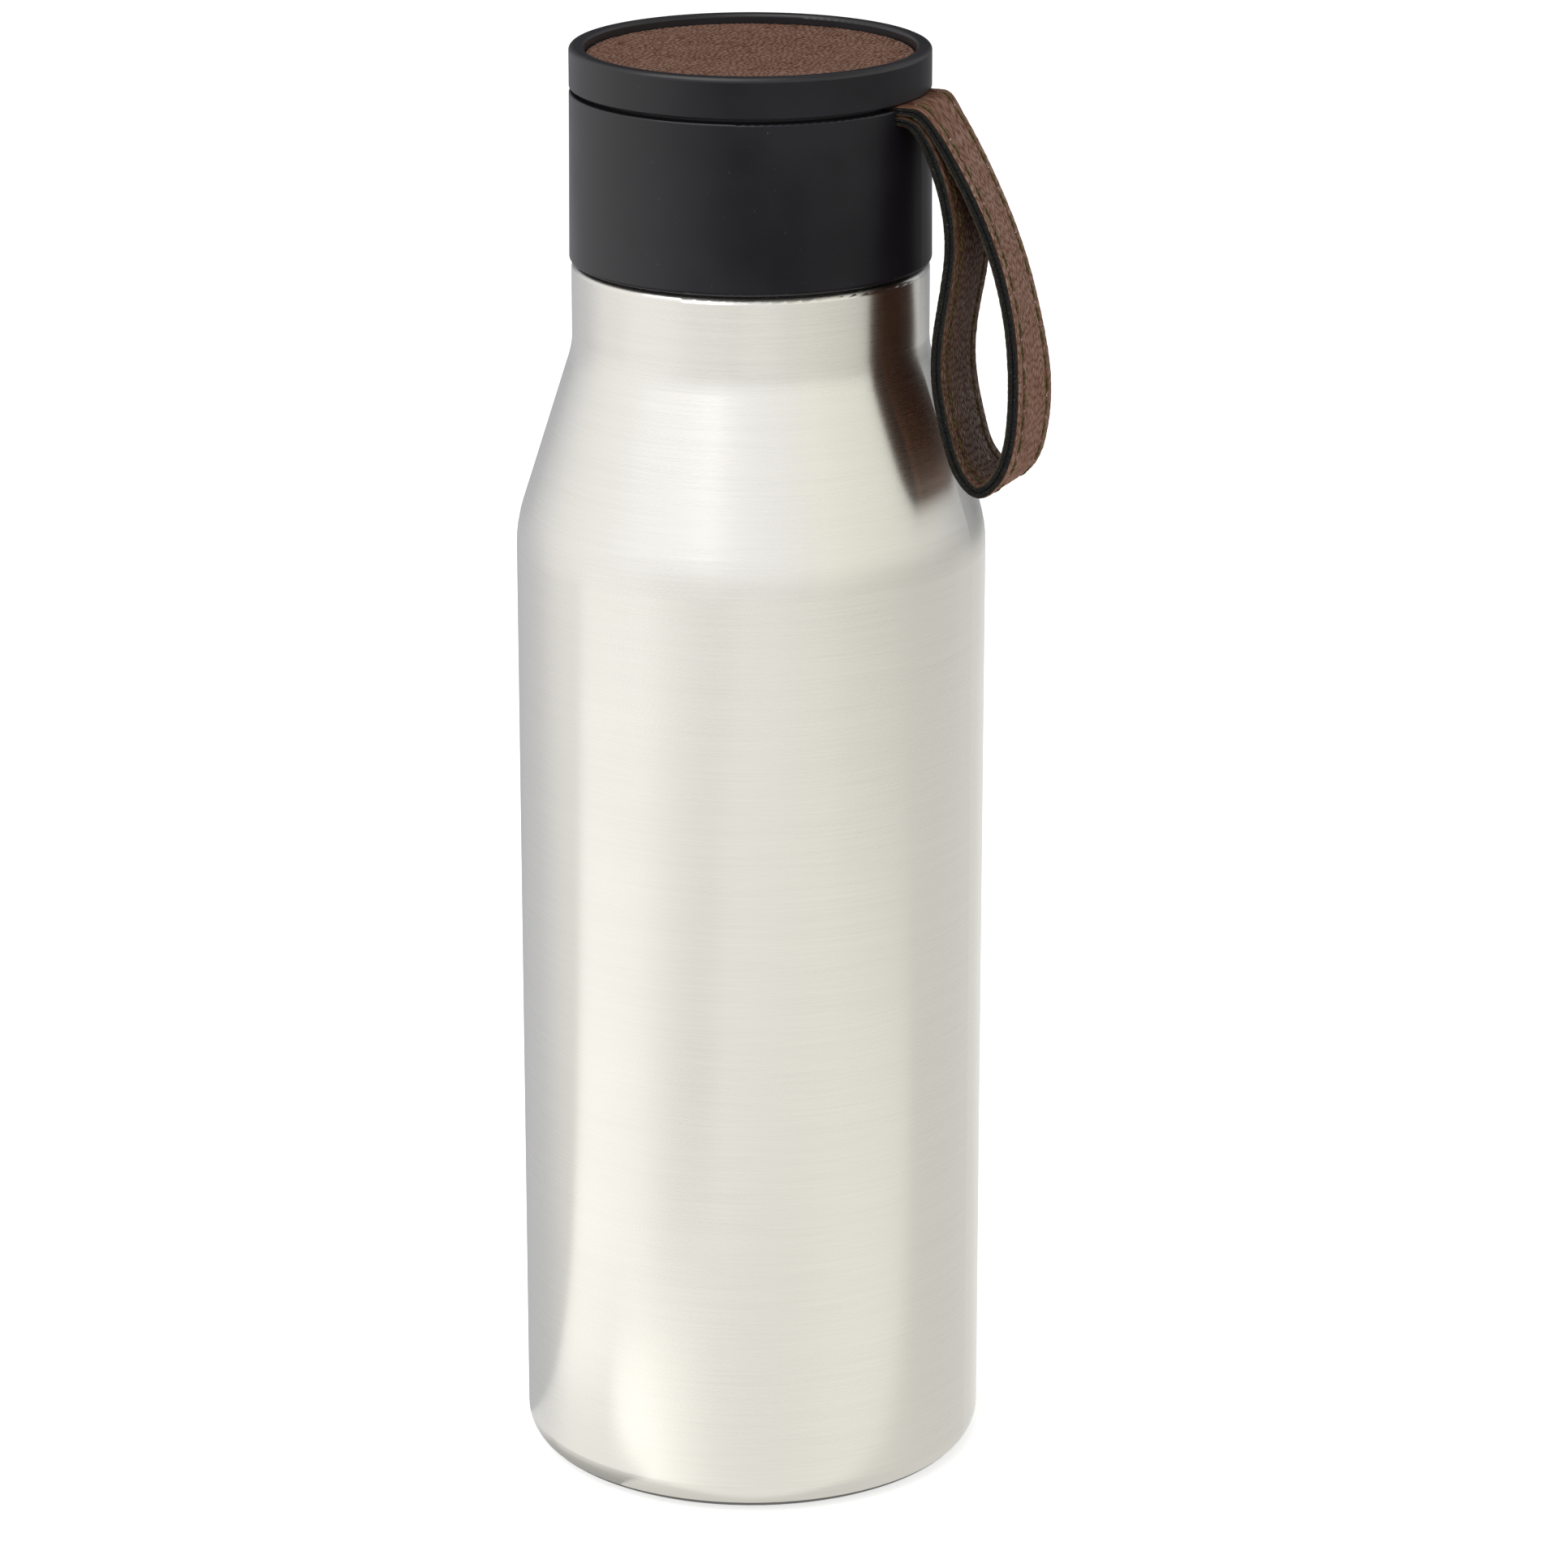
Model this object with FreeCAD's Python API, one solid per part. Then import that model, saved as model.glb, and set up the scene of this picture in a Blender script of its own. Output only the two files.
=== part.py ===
import FreeCAD, Part
import math
import os

# Double-wall steel drinking bottle with a two-tier screw lid and a stitched leather carrying loop.
# Millimetres. Origin: centre of the foot ring's resting plane. +Z up the bottle, +X towards the loop.

# ---- driving dimensions: bottle ------------------------------------------------------------
BODY_R = 35.0            # outside of the straight body
NECK_R = 26.4            # outside of the straight neck below the lid
FOOT_CORNER_R = 4.5      # rounding between the body and the resting plane
SHOULDER_LOW_Z = 146.3   # where the body line meets the shoulder cone
SHOULDER_HIGH_Z = 173.5  # where the shoulder cone meets the neck line
SHOULDER_LOW_FILLET = 20.0
SHOULDER_HIGH_FILLET = 11.0
STEP_Z = 186.0           # top of the step that the lid comes down to
FINISH_R = 22.2          # threaded finish, root of the thread
FINISH_TOP_Z = 204.0     # top of the outer shell, where the two walls are welded
SHELL_WALL = 0.6
LINER_WALL = 0.5
LINER_R = 31.4           # outside of the inner flask
LINER_NECK_R = 20.4
LINER_FLOOR_Z = 9.0
LIP_Z = FINISH_TOP_Z + LINER_WALL
FLANGE_R = 27.9          # turned-in flange at the bottom of the shell
FLANGE_TOP_Z = 2.8

# ---- driving dimensions: thread ------------------------------------------------------------
PITCH = 5.0
RIDGE_ROOT_WIDTH = 3.0
RIDGE_CREST_WIDTH = 1.6
RIDGE_HEIGHT = 1.1
NECK_THREAD_Z = 190.4    # height of the neck ridge's middle where it starts, at +X
NECK_THREAD_TURNS = 1.75
CAP_THREAD_TURNS = 1.5
THREAD_SEAT = 0.25       # how far the cap ridge is drawn up towards the neck ridge when tight

# ---- driving dimensions: lid ---------------------------------------------------------------
LID_R = 26.5
LID_BOTTOM_Z = 186.4
SLEEVE_FLARE = 0.2       # the sleeve is this much larger at its lower edge
SLEEVE_TOP_Z = 211.4
SLEEVE_BORE_R = 24.8
DECK_Z = 207.6           # underside of the floor across the sleeve
DECK_WALL = 1.4
CROWN_Z = 212.0          # underside of the top ring; the seam below it is open
TOP_Z = 218.0
SPIGOT_R = 24.7
SPIGOT_BOTTOM_Z = 209.4
RIM_BORE_R = 24.3        # recess that holds the leather disc
RECESS_FLOOR_Z = 215.3
WEB_Z = 213.5            # underside of the recess floor
INSERT_R = 24.75
INSERT_BORE_R = FINISH_R + RIDGE_HEIGHT + 0.3
INSERT_BOTTOM_Z = 188.0
PLUG_R = 18.9
PLUG_BOTTOM_Z = 193.0
PLUG_WALL = 1.3
GASKET_TOP_Z = DECK_Z - 1.4

# ---- driving dimensions: strap -------------------------------------------------------------
STRAP_WIDTH = 15.0
STRIP = 1.0              # one strip of leather with its backing; the strap is two, back to back
SKIVED = 1.3             # thickness of one strap end where it is clamped
FOLD_X, FOLD_Z = 28.3, 210.5   # line about which the loop bends, just outside the slot
FOLD_R = 1.5
STITCH_Y = 5.2           # stitch rows, each side of the middle of the strap
STITCH_WIDTH = 0.6
STITCH_PROUD = 0.12
SCREW_X, SCREW_Y = 13.5, 4.0
STRAP_END_X = 10.5

# Middle of the strap's thickness round the loop, as (x, z): out of the slot, down the outer leg,
# round the bottom and back up the inner leg.
LOOP_LINE = [
    (28.3, 211.2), (30.2, 209.6), (32.9, 206.0), (37.4, 197.9), (41.2, 188.3), (43.1, 179.0),
    (43.5, 169.6), (42.5, 161.5), (40.5, 157.5), (38.2, 156.0), (36.0, 157.6), (33.6, 163.4),
    (32.2, 171.0), (32.2, 177.5), (33.4, 185.4), (34.0, 192.0), (33.2, 198.0), (31.2, 203.4),
    (29.4, 207.2), (28.3, 209.8),
]

LOOP_STEPS = 60          # points that a moved curve is drawn through, for each half of the loop

V = FreeCAD.Vector
UP = V(0, 0, 1)
ORIGIN = V(0, 0, 0)


# ---- profiles ------------------------------------------------------------------------------
def fillet_points(before, corner, after, radius):
    """Start, middle and end of the arc of that radius at a corner, as (r, z)."""
    a = V(before[0] - corner[0], before[1] - corner[1], 0).normalize()
    b = V(after[0] - corner[0], after[1] - corner[1], 0).normalize()
    half = a.getAngle(b) / 2
    reach = radius / math.tan(half)
    middle = (a + b).normalize() * (radius / math.sin(half) - radius)
    return [(corner[0] + d.x, corner[1] + d.y) for d in (a * reach, middle, b * reach)]


def edges_through(corners, closed):
    """Lines and tangent arcs through (r, z) corners. A corner may carry a rounding as a third value."""
    count = len(corners)
    stops = []
    for i, corner in enumerate(corners):
        radius = corner[2] if len(corner) > 2 else 0
        if radius and (closed or 0 < i < count - 1):
            stops.append(fillet_points(corners[i - 1], corner, corners[(i + 1) % count], radius))
        else:
            stops.append([(corner[0], corner[1])])
    edges = []
    for i, stop in enumerate(stops):
        if len(stop) == 3:
            edges.append(Part.Arc(*[V(r, 0, z) for r, z in stop]).toShape())
        if closed or i < count - 1:
            following = stops[(i + 1) % count][0]
            start, end = V(stop[-1][0], 0, stop[-1][1]), V(following[0], 0, following[1])
            if start.distanceToPoint(end) > 1e-6:
                edges.append(Part.LineSegment(start, end).toShape())
    return edges


def spin(edges):
    """A closed outline turned about Z."""
    face = Part.Face(Part.Wire(Part.__sortEdges__(edges)))
    return face.revolve(ORIGIN, UP, 360)


def turned(corners):
    return spin(edges_through(corners, closed=True))


def offset_corners(corners, distance):
    """The same open path moved to its left by a distance, with its roundings adjusted to stay concentric."""
    points = [V(c[0], c[1], 0) for c in corners]
    ways = [(b - a).normalize() for a, b in zip(points, points[1:])]
    lefts = [V(-w.y, w.x, 0) for w in ways]
    moved = [points[0] + lefts[0] * distance]
    roundings = [0]
    for i in range(1, len(points) - 1):
        before, after = lefts[i - 1], lefts[i]
        mitre = (before + after).normalize()
        moved.append(points[i] + mitre * (distance / mitre.dot(before)))
        turns_left = ways[i - 1].x * ways[i].y - ways[i - 1].y * ways[i].x > 0
        radius = corners[i][2] if len(corners[i]) > 2 else 0
        roundings.append(max(radius - distance, 0) if turns_left else radius + distance)
    moved.append(points[-1] + lefts[-1] * distance)
    roundings.append(0)
    return [(p.x, p.y, r) for p, r in zip(moved, roundings)]


def sheet_turned(corners, wall):
    """A sheet-metal shell: the path is its outside, and the wall lies to the path's left."""
    inside = offset_corners(corners, wall)
    first = Part.LineSegment(V(corners[0][0], 0, corners[0][1]), V(inside[0][0], 0, inside[0][1]))
    last = Part.LineSegment(V(corners[-1][0], 0, corners[-1][1]), V(inside[-1][0], 0, inside[-1][1]))
    edges = edges_through(corners, closed=False) + edges_through(inside, closed=False)
    return spin(edges + [first.toShape(), last.toShape()])


def disc(radius, bottom, top, x=0.0, y=0.0):
    return Part.makeCylinder(radius, top - bottom, V(x, y, bottom))


def block(x0, x1, half_y, z0, z1):
    return Part.makeBox(x1 - x0, 2 * half_y, z1 - z0, V(x0, -half_y, z0))


def slab(points, half_y):
    """A flat (x, z) outline extruded across the strap's width."""
    corners = [V(x, -half_y, z) for x, z in points]
    face = Part.Face(Part.makePolygon(corners + corners[:1]))
    return face.extrude(V(0, 2 * half_y, 0))


# ---- thread --------------------------------------------------------------------------------
def thread_ridge(wall_radius, height, start_z, turns):
    """A helical ridge that stands out of a wall by height, inwards where height is negative."""
    bite = 0.3 if height > 0 else -0.3
    root, crest = wall_radius - bite, wall_radius + height
    half_root, half_crest = RIDGE_ROOT_WIDTH / 2, RIDGE_CREST_WIDTH / 2
    corners = [
        V(root, 0, start_z - half_root), V(wall_radius, 0, start_z - half_root),
        V(crest, 0, start_z - half_crest), V(crest, 0, start_z + half_crest),
        V(wall_radius, 0, start_z + half_root), V(root, 0, start_z + half_root),
    ]
    section = Part.makePolygon(corners + corners[:1])
    helix = Part.makeHelix(PITCH, PITCH * turns, wall_radius)
    helix.translate(V(0, 0, start_z))
    return Part.Wire(helix).makePipeShell([section], True, True)


# ---- bottle --------------------------------------------------------------------------------
def outer_shell():
    path = [
        (FLANGE_R, FLANGE_TOP_Z), (FLANGE_R, 0, 1.2), (BODY_R, 0, FOOT_CORNER_R),
        (BODY_R, SHOULDER_LOW_Z, SHOULDER_LOW_FILLET),
        (NECK_R, SHOULDER_HIGH_Z, SHOULDER_HIGH_FILLET),
        (NECK_R, STEP_Z, 0.8), (FINISH_R, STEP_Z, 0.8), (FINISH_R, FINISH_TOP_Z),
    ]
    shell = sheet_turned(path, SHELL_WALL)
    ridge = thread_ridge(FINISH_R, RIDGE_HEIGHT, NECK_THREAD_Z, NECK_THREAD_TURNS)
    return shell.fuse(ridge)


def inner_liner():
    path = [
        (0, LINER_FLOOR_Z), (LINER_R, LINER_FLOOR_Z, 12), (LINER_R, 143.3, 18),
        (LINER_NECK_R, 176.0, 12), (LINER_NECK_R, FINISH_TOP_Z, 0.3), (FINISH_R, FINISH_TOP_Z),
    ]
    return sheet_turned(path, LINER_WALL)


def vacuum_floor():
    """Pressed disc that closes the shell's bottom, dished up at its middle round the pump-out hole."""
    hole_r, dish_r, rise = 0.8, 7.0, 1.4
    low = FLANGE_TOP_Z + 0.6
    path = [
        (FLANGE_R - 0.05, 1.3), (FLANGE_R - 0.05, low, 0.8), (dish_r, low, 1.5),
        (dish_r - 2.0, low + rise, 1.5), (hole_r, low + rise),
    ]
    return sheet_turned(path, SHELL_WALL)


def seal_bead():
    """Glass bead melted over the pump-out hole, in the dish of the vacuum floor."""
    top = FLANGE_TOP_Z + 2.0 - SHELL_WALL
    return turned([(0, top - 1.1), (2.4, top - 1.1, 0.9), (3.2, top), (0, top)])


def getter():
    """Getter tablet in its clip ring, on the vacuum side of the floor."""
    floor = FLANGE_TOP_Z + 0.6
    ring = disc(5.0, floor, floor + 1.6, x=-17.0).cut(disc(4.4, floor + 0.3, floor + 1.7, x=-17.0))
    tablet = disc(4.35, floor + 0.3, floor + 1.2, x=-17.0)
    return ring, tablet


def base_cover():
    """Outer bottom disc, recessed behind the foot ring, with a pressed ring for stiffness."""
    path = [
        (FLANGE_R - SHELL_WALL - 0.1, 1.2), (21.0, 1.2, 1.0), (19.5, 0.7, 1.0),
        (16.5, 0.7, 1.0), (15.0, 1.2, 1.0), (0, 1.2),
    ]
    return sheet_turned([(r, z, *rest) for r, z, *rest in reversed(path)], 0.5)


# ---- lid -----------------------------------------------------------------------------------
def seal_ring():
    low, high = LIP_Z + 0.05, GASKET_TOP_Z - 0.03
    return turned([
        (PLUG_R + 0.6, low, 0.3), (FINISH_R + 0.3, low, 0.5),
        (FINISH_R + 0.3, high, 0.3), (PLUG_R + 0.6, high, 0.2),
    ])


def lid_insert():
    """Threaded liner of the lid: skirt, seal land and the hollow plug that hangs in the mouth."""
    cup_r = PLUG_R - PLUG_WALL
    body = turned([
        (0, PLUG_BOTTOM_Z), (PLUG_R, PLUG_BOTTOM_Z, 1.8), (PLUG_R, GASKET_TOP_Z - 2.6),
        (PLUG_R + 0.5, GASKET_TOP_Z - 2.0), (PLUG_R + 0.5, GASKET_TOP_Z),
        (INSERT_BORE_R, GASKET_TOP_Z), (INSERT_BORE_R, INSERT_BOTTOM_Z, 0.3),
        (INSERT_R, INSERT_BOTTOM_Z, 0.3), (INSERT_R, DECK_Z),
        (cup_r, DECK_Z), (cup_r, PLUG_BOTTOM_Z + PLUG_WALL, 1.0), (0, PLUG_BOTTOM_Z + PLUG_WALL),
    ])
    start = NECK_THREAD_Z + PITCH / 2 + THREAD_SEAT
    return body.fuse(thread_ridge(INSERT_BORE_R, -RIDGE_HEIGHT, start, CAP_THREAD_TURNS))


def screw_places():
    return [(SCREW_X, side * SCREW_Y) for side in (-1, 1)]


def lid_foam():
    """Insulating foam block in the plug, with pockets for the sleeve's screw bosses."""
    radius = PLUG_R - PLUG_WALL - 0.1
    low = PLUG_BOTTOM_Z + PLUG_WALL
    foam = turned([(0, low), (radius, low, 1.1), (radius, DECK_Z), (0, DECK_Z)])
    for x, y in screw_places():
        foam = foam.cut(disc(2.4, DECK_Z - 4.6, DECK_Z + 1, x, y))
    return foam


def lid_sleeve():
    """Lower tier of the lid: outer wall, the floor across it and the slot that the strap comes out of."""
    groove_z = SPIGOT_BOTTOM_Z + 0.8
    sleeve = turned([
        (0, DECK_Z), (SLEEVE_BORE_R, DECK_Z), (SLEEVE_BORE_R, LID_BOTTOM_Z + 0.8),
        (SLEEVE_BORE_R + 0.4, LID_BOTTOM_Z), (LID_R + SLEEVE_FLARE, LID_BOTTOM_Z, 0.6),
        (LID_R, SLEEVE_TOP_Z, 0.3), (SLEEVE_BORE_R, SLEEVE_TOP_Z),
        (SLEEVE_BORE_R, groove_z + 0.5), (SLEEVE_BORE_R + 0.35, groove_z),
        (SLEEVE_BORE_R, groove_z - 0.5), (SLEEVE_BORE_R, DECK_Z + DECK_WALL),
        (0, DECK_Z + DECK_WALL),
    ])
    sleeve = sleeve.cut(block(22.0, LID_R + 2, STRAP_WIDTH / 2 + 0.3, DECK_Z + DECK_WALL, TOP_Z))
    for x, y in screw_places():
        sleeve = sleeve.fuse(disc(2.2, DECK_Z - 4.2, DECK_Z, x, y))
        sleeve = sleeve.cut(disc(1.05, DECK_Z - 3.6, DECK_Z + DECK_WALL + 1, x, y))
    return sleeve


def lid_crown():
    """Upper tier of the lid: recessed top with a raised rim, and the spigot that snaps into the sleeve."""
    bead_z = SPIGOT_BOTTOM_Z + 0.8
    crown = turned([
        (0, WEB_Z), (SPIGOT_R - 1.5, WEB_Z), (SPIGOT_R - 1.5, SPIGOT_BOTTOM_Z),
        (SPIGOT_R, SPIGOT_BOTTOM_Z), (SPIGOT_R, bead_z - 0.4), (SPIGOT_R + 0.3, bead_z),
        (SPIGOT_R, bead_z + 0.4), (SPIGOT_R, CROWN_Z), (LID_R, CROWN_Z, 0.25),
        (LID_R, TOP_Z, 0.7), (RIM_BORE_R, TOP_Z, 0.5), (RIM_BORE_R, RECESS_FLOOR_Z),
        (0, RECESS_FLOOR_Z),
    ])
    return crown.cut(block(20.0, LID_R, STRAP_WIDTH / 2 + 0.6, SPIGOT_BOTTOM_Z - 1, CROWN_Z))


def inlay_adhesive():
    return disc(RIM_BORE_R - 0.7, RECESS_FLOOR_Z, RECESS_FLOOR_Z + 0.2)


def leather_inlay():
    low, high, radius = RECESS_FLOOR_Z + 0.2, RECESS_FLOOR_Z + 1.4, RIM_BORE_R - 0.1
    return turned([(0, low), (radius, low), (radius, high, 0.35), (0, high)])


def strap_ends():
    """The two clamped ends of the strap, thinned where they lie under the clamp plate."""
    deck = DECK_Z + DECK_WALL
    split, top, out = deck + SKIVED, deck + 2 * SKIVED, LID_R + 0.1
    lower = slab([
        (STRAP_END_X, deck), (out, deck), (out, deck + FOLD_R), (20.5, split), (STRAP_END_X, split),
    ], STRAP_WIDTH / 2)
    upper = slab([
        (STRAP_END_X, split), (20.5, split), (out, deck + FOLD_R), (out, CROWN_Z), (22.6, CROWN_Z),
        (20.0, top), (STRAP_END_X, top),
    ], STRAP_WIDTH / 2)
    for x, y in screw_places():
        hole = disc(1.2, deck - 1, top + 1, x, y)
        lower, upper = lower.cut(hole), upper.cut(hole)
    return lower, upper


def clamp_plate():
    low = DECK_Z + DECK_WALL + 2 * SKIVED
    plate = block(STRAP_END_X, STRAP_END_X + 6.5, 7.0, low, low + 0.8)
    corners = [e for e in plate.Edges if abs(e.tangentAt(e.FirstParameter).z) > 0.99]
    plate = plate.makeFillet(1.5, corners)
    for x, y in screw_places():
        plate = plate.cut(disc(1.2, low - 1, low + 2, x, y))
    return plate


def strap_screws():
    """Two pan-head screws with crossed drive slots, through the plate and strap ends into the bosses."""
    seat = DECK_Z + DECK_WALL + 2 * SKIVED + 0.8
    screws = []
    for x, y in screw_places():
        head = turned([(0, seat), (2.0, seat), (2.0, seat + 1.0, 0.45), (0, seat + 1.0)])
        shank = turned([(0, seat - 8.0), (0.5, seat - 8.0), (1.0, seat - 7.2), (1.0, seat), (0, seat)])
        screw = head.fuse(shank)
        for slot_x, slot_y in ((1.0, 0.22), (0.22, 1.0)):
            slot = Part.makeBox(2 * slot_x, 2 * slot_y, 0.7, V(-slot_x, -slot_y, seat + 0.5))
            screw = screw.cut(slot)
        screw.translate(V(x, y, 0))
        screws.append(screw)
    return screws


# ---- strap loop ----------------------------------------------------------------------------
def loop_curve(distance, start, end):
    """The loop's line moved outwards by a distance, between two shares of its length, as an edge."""
    line = Part.BSplineCurve()
    line.interpolate([V(x, 0, z) for x, z in LOOP_LINE])
    points = []
    for i in range(LOOP_STEPS + 1):
        at = line.FirstParameter + (line.LastParameter - line.FirstParameter) * (
            start + (end - start) * i / LOOP_STEPS
        )
        along = line.tangent(at)[0]
        points.append(line.value(at) + V(-along.z, 0, along.x) * distance)
    moved = Part.BSplineCurve()
    moved.interpolate(points)
    return moved.toShape()


def half_ribbon(inner, outer, y0, y1, start, end):
    a, b = loop_curve(inner, start, end), loop_curve(outer, start, end)
    caps = []
    for tip in (0, -1):
        caps.append(Part.LineSegment(a.Vertexes[tip].Point, b.Vertexes[tip].Point).toShape())
    face = Part.Face(Part.Wire(Part.__sortEdges__([a, b] + caps)))
    face.translate(V(0, y0, 0))
    return face.extrude(V(0, y1 - y0, 0))


def ribbon(inner, outer, y0, y1):
    """A band round the loop between two distances from its line, from y0 to y1 across it."""
    halves = [half_ribbon(inner, outer, y0, y1, *ends) for ends in ((0, 0.5), (0.5, 1))]
    return halves[0].fuse(halves[1])


def fold_cylinder(radius, half_y):
    return Part.makeCylinder(radius, 2 * half_y, V(FOLD_X, -half_y, FOLD_Z), V(0, 1, 0))


def strap_loop():
    """The loop outside the lid: an outer and an inner strip, back to back, joined at the fold."""
    half = STRAP_WIDTH / 2
    clear = fold_cylinder(FOLD_R, half + 1)
    outer_strip = ribbon(0, STRIP, -half, half).cut(clear)
    inner_strip = ribbon(-STRIP, 0, -half, half).cut(clear)
    inner_strip = inner_strip.fuse(fold_cylinder(FOLD_R, half)).removeSplitter()
    return outer_strip, inner_strip


def strap_stitching():
    """Raised thread of the two stitch rows, on the outer and the inner face of the loop."""
    clear = fold_cylinder(FOLD_R + 3.0, STRAP_WIDTH)
    rows = []
    for side in (-1, 1):
        y0 = side * STITCH_Y - STITCH_WIDTH / 2
        for low, high in ((STRIP, STRIP + STITCH_PROUD), (-STRIP - STITCH_PROUD, -STRIP)):
            rows.append(ribbon(low, high, y0, y0 + STITCH_WIDTH).cut(clear))
    return rows


# ---- export --------------------------------------------------------------------------------
def save(name, *shapes):
    solids = [s for shape in shapes for s in shape.Solids]
    for solid in solids:
        if not solid.isValid() or solid.Volume <= 0:
            raise ValueError(name + " holds a solid that isn't sound")
    kept = solids[0] if len(solids) == 1 else Part.makeCompound(solids)
    kept.exportStep("parts/" + name + ".step")
    print(f"{name}: {len(solids)} solid(s), {sum(s.Volume for s in solids) / 1000:.2f} cm3")


def main():
    os.makedirs("parts", exist_ok=True)
    save("outer_shell", outer_shell())
    save("inner_liner", inner_liner())
    save("vacuum_floor", vacuum_floor())
    save("seal_bead", seal_bead())
    getter_ring, getter_tablet = getter()
    save("getter_clip", getter_ring)
    save("getter_tablet", getter_tablet)
    save("base_cover", base_cover())
    save("seal_ring", seal_ring())
    save("lid_insert", lid_insert())
    save("lid_foam", lid_foam())
    save("lid_sleeve", lid_sleeve())
    save("lid_crown", lid_crown())
    save("inlay_adhesive", inlay_adhesive())
    save("leather_inlay", leather_inlay())
    lower_end, upper_end = strap_ends()
    save("strap_end_lower", lower_end)
    save("strap_end_upper", upper_end)
    save("strap_clamp_plate", clamp_plate())
    save("strap_screws", *strap_screws())
    outer_strip, inner_strip = strap_loop()
    save("strap_outer_strip", outer_strip)
    save("strap_inner_strip", inner_strip)
    save("strap_stitching", *strap_stitching())


main()
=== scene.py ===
import math

import bpy
import numpy as np
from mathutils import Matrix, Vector


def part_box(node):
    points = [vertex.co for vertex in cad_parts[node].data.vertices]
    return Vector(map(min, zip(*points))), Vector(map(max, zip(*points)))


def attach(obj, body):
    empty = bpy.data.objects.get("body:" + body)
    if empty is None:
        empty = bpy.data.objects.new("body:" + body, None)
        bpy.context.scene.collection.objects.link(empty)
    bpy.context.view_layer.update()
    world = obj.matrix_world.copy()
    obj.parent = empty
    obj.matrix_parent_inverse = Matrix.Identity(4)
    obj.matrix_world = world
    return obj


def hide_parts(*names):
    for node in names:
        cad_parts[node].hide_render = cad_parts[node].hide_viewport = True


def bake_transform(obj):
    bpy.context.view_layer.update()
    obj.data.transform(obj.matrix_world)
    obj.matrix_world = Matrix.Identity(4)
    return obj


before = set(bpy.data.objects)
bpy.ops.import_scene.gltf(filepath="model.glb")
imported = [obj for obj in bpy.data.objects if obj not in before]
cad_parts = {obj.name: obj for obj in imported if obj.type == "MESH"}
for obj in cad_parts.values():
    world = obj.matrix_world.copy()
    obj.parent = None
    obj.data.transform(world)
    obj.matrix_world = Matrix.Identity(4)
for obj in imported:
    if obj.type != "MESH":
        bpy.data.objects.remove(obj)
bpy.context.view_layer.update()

MM = 0.001

# ---- where the camera stands: round the bottle from -Y towards the loop's side, +X -----------
VIEW_TURN = math.radians(21.0)
VIEW_TILT = math.radians(17.82)
VIEW_DISTANCE = 838.4 * MM
VIEW_HEIGHT = 374.4 * MM
VIEW_SIDEWAYS = 4.9 * MM
LENS = 133.5
TO_CAMERA = Vector((math.sin(VIEW_TURN), -math.cos(VIEW_TURN), 0))
SCREEN_RIGHT = Vector((math.cos(VIEW_TURN), math.sin(VIEW_TURN), 0))

# ---- strap, in millimetres; its near edge keeps within about half a millimetre of the CAD loop ------
STRAP_HALF_WIDTH = 7.5
SKIN = 0.30              # leather skin on each face; between the two lies the black backing
OVERLAP = 0.04           # how far the skin's underside reaches into the backing
THIN = 1.3               # whole thickness where the ends are clamped
AT_SLOT = 1.5            # and where the two legs lie on each other in the slot
FULL = 2.0               # and round the loop
RELIEF = 0.11            # height of the leather's grain
STRAP_STEP = 0.31        # how far apart the rows of its grid are, and how many columns it has
STRAP_COLUMNS = 200
STITCH_ROW = 5.2         # each stitch row's distance from the strap's middle
STITCH_PITCH = 3.4
THREAD_R = 0.25
THREAD_SUNK = 0.08       # the thread's middle lies this far below the leather,
THREAD_DIP = 0.62        # dives by this much at its ends,
THREAD_SHARE = 0.41      # and reaches this share of the pitch to each side
GROOVE_DEPTH, GROOVE_WIDTH = 0.16, 0.42
HOLE_DEPTH, HOLE_ACROSS, HOLE_ALONG = 0.20, 0.30, 0.38
SLOT_X = 26.6            # where the strap leaves the lid, in x and in z
SLOT_Z = 210.5
LINE_IN = [(10.5, 210.95), (15.0, 210.95), (20.0, 211.0), (24.5, 211.2), (26.4, 211.25)]
# Each place round the loop: x and z at the strap's -Y edge, and how much further in x its +Y edge is.
LOOP = [
    (28.2, 211.05, -0.5), (30.5, 209.15, -1.4), (32.8, 205.9, -1.75), (37.4, 197.8, -2.0),
    (41.2, 188.3, -1.8), (43.1, 179.0, -1.1), (43.5, 169.6, 0.0), (42.5, 161.5, 0.3), (40.5, 157.5, 0.6),
    (38.2, 156.0, 0.5), (36.0, 157.6, 0.1), (33.52, 163.4, -0.1), (31.9, 171.0, 0.0), (31.85, 177.5, 0.1),
    (33.0, 185.4, 0.3), (33.65, 192.0, 0.2), (32.9, 198.3, 0.0), (31.3, 203.4, 0.0), (30.1, 206.1, 0.0),
    (29.2, 207.6, 0.0), (28.2, 208.85, 0.0),
]
LINE_OUT = [(26.4, 209.72), (24.5, 209.7), (20.0, 209.66), (15.0, 209.65), (10.5, 209.65)]

# ---- light -----------------------------------------------------------------------------------
NEUTRAL, WARM, COOL = (1, 0.985, 0.955), (1, 0.99, 0.91), (0.97, 0.985, 1.02)
# Brightness round the bottle, by degrees from the camera's side towards the screen's right.
LIGHT_AROUND = [
    (-180, 0.66, COOL), (-150, 0.70, COOL), (-130, 0.72, COOL), (-105, 0.98, NEUTRAL), (-66, 1.06, NEUTRAL),
    (-25, 1.10, NEUTRAL), (0, 1.10, NEUTRAL), (30, 1.04, WARM), (60, 0.93, WARM), (95, 0.86, WARM),
    (115, 0.72, COOL), (145, 0.66, COOL), (180, 0.66, COOL),
]
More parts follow.
